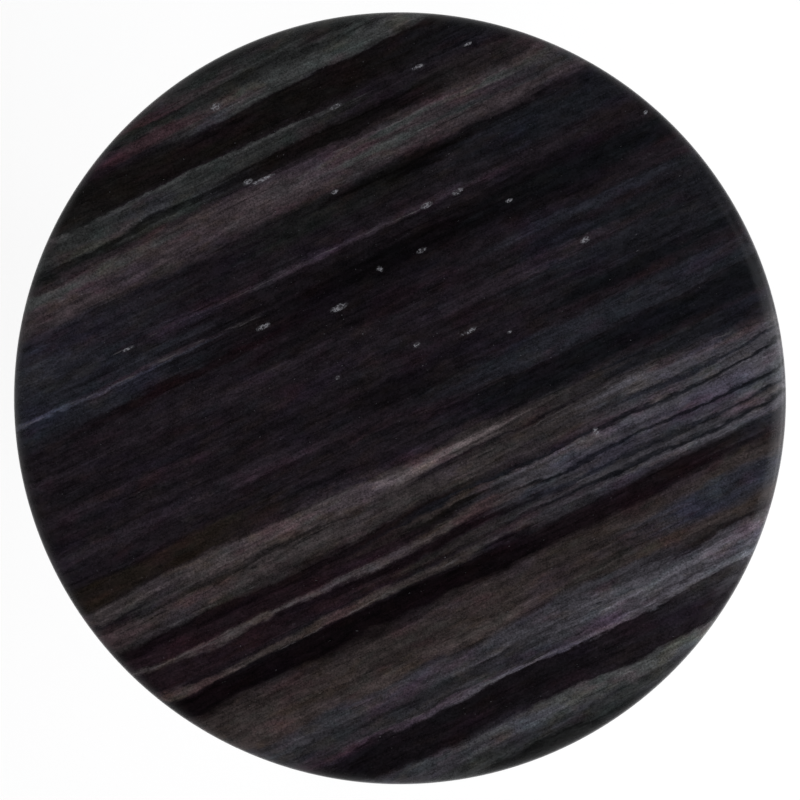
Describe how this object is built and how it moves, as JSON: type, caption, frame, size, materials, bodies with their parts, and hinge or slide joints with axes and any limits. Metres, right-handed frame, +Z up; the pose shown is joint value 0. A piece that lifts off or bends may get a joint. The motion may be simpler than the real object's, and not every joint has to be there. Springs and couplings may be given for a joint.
{
  "type": "round pedestal table",
  "caption": "Round stone-topped pedestal table with a bullnosed edge, one central column, a weighted disc base and levelling feet.",
  "frame": {"origin": "on the floor, under the column's axis, with the feet screwed fully in", "axes": "+Z up along the column's axis; the spider's arms run along X and Y, and the feet stand between them"},
  "size_m": [0.61, 0.61, 0.74],
  "materials": {
    "stone": "polished near-black marble with pale grey streaks",
    "adhesive": "cured construction adhesive",
    "board": "birch plywood stained and sealed black",
    "cast_black": "as-cast texture under black powder coat",
    "powder_black": "fine-texture black powder coat on steel",
    "zinc": "bright zinc plate",
    "brass": "turned",
    "rubber": "moulded matt black",
    "nylon": "moulded satin dark grey"
  },
  "bodies": {
    "table": {"marble_top": "stone", "adhesive_bed": "adhesive", "backing_board": "board", "board_insert_1": "brass", "board_insert_2": "brass", "board_insert_3": "brass", "board_insert_4": "brass", "board_insert_5": "brass", "board_insert_6": "brass", "board_insert_7": "brass", "board_insert_8": "brass", "top_spider": "cast_black", "spider_screw_1": "zinc", "spider_screw_2": "zinc", "spider_screw_3": "zinc", "spider_screw_4": "zinc", "spider_screw_5": "zinc", "spider_screw_6": "zinc", "spider_screw_7": "zinc", "spider_screw_8": "zinc", "column_tube": "powder_black", "tie_rod": "zinc", "clamp_washer": "zinc", "spring_washer": "zinc", "tie_rod_nut": "zinc", "base_cover": "powder_black", "neck_grommet": "rubber", "base_ballast": "cast_black", "edge_trim": "rubber"},
    "foot_1": {"foot_pad_1": "nylon"},
    "spindle_1": {"foot_spindle_1": "zinc"},
    "foot_2": {"foot_pad_2": "nylon"},
    "spindle_2": {"foot_spindle_2": "zinc"},
    "foot_3": {"foot_pad_3": "nylon"},
    "spindle_3": {"foot_spindle_3": "zinc"},
    "foot_4": {"foot_pad_4": "nylon"},
    "spindle_4": {"foot_spindle_4": "zinc"}
  },
  "joints": [
    {"name": "foot_1_travel", "type": "slide", "parent": "table", "child": "foot_1", "axis": [0, 0, -1], "range_m": [0, 0.008]},
    {"name": "spindle_1_turn", "type": "hinge", "parent": "foot_1", "child": "spindle_1", "pos_m": [0.12587, 0.12587, 0.01], "axis": [0, 0, -1], "range_deg": [0, 2304]},
    {"name": "foot_2_travel", "type": "slide", "parent": "table", "child": "foot_2", "axis": [0, 0, -1], "range_m": [0, 0.008]},
    {"name": "spindle_2_turn", "type": "hinge", "parent": "foot_2", "child": "spindle_2", "pos_m": [-0.12587, 0.12587, 0.01], "axis": [0, 0, -1], "range_deg": [0, 2304]},
    {"name": "foot_3_travel", "type": "slide", "parent": "table", "child": "foot_3", "axis": [0, 0, -1], "range_m": [0, 0.008]},
    {"name": "spindle_3_turn", "type": "hinge", "parent": "foot_3", "child": "spindle_3", "pos_m": [-0.12587, -0.12587, 0.01], "axis": [0, 0, -1], "range_deg": [0, 2304]},
    {"name": "foot_4_travel", "type": "slide", "parent": "table", "child": "foot_4", "axis": [0, 0, -1], "range_m": [0, 0.008]},
    {"name": "spindle_4_turn", "type": "hinge", "parent": "foot_4", "child": "spindle_4", "pos_m": [0.12587, -0.12587, 0.01], "axis": [0, 0, -1], "range_deg": [0, 2304]}
  ],
  "couplings": [
    {"joint": "spindle_1_turn", "follows": "foot_1_travel", "rad_per_m": 5026.5},
    {"joint": "spindle_2_turn", "follows": "foot_2_travel", "rad_per_m": 5026.5},
    {"joint": "spindle_3_turn", "follows": "foot_3_travel", "rad_per_m": 5026.5},
    {"joint": "spindle_4_turn", "follows": "foot_4_travel", "rad_per_m": 5026.5}
  ]
}
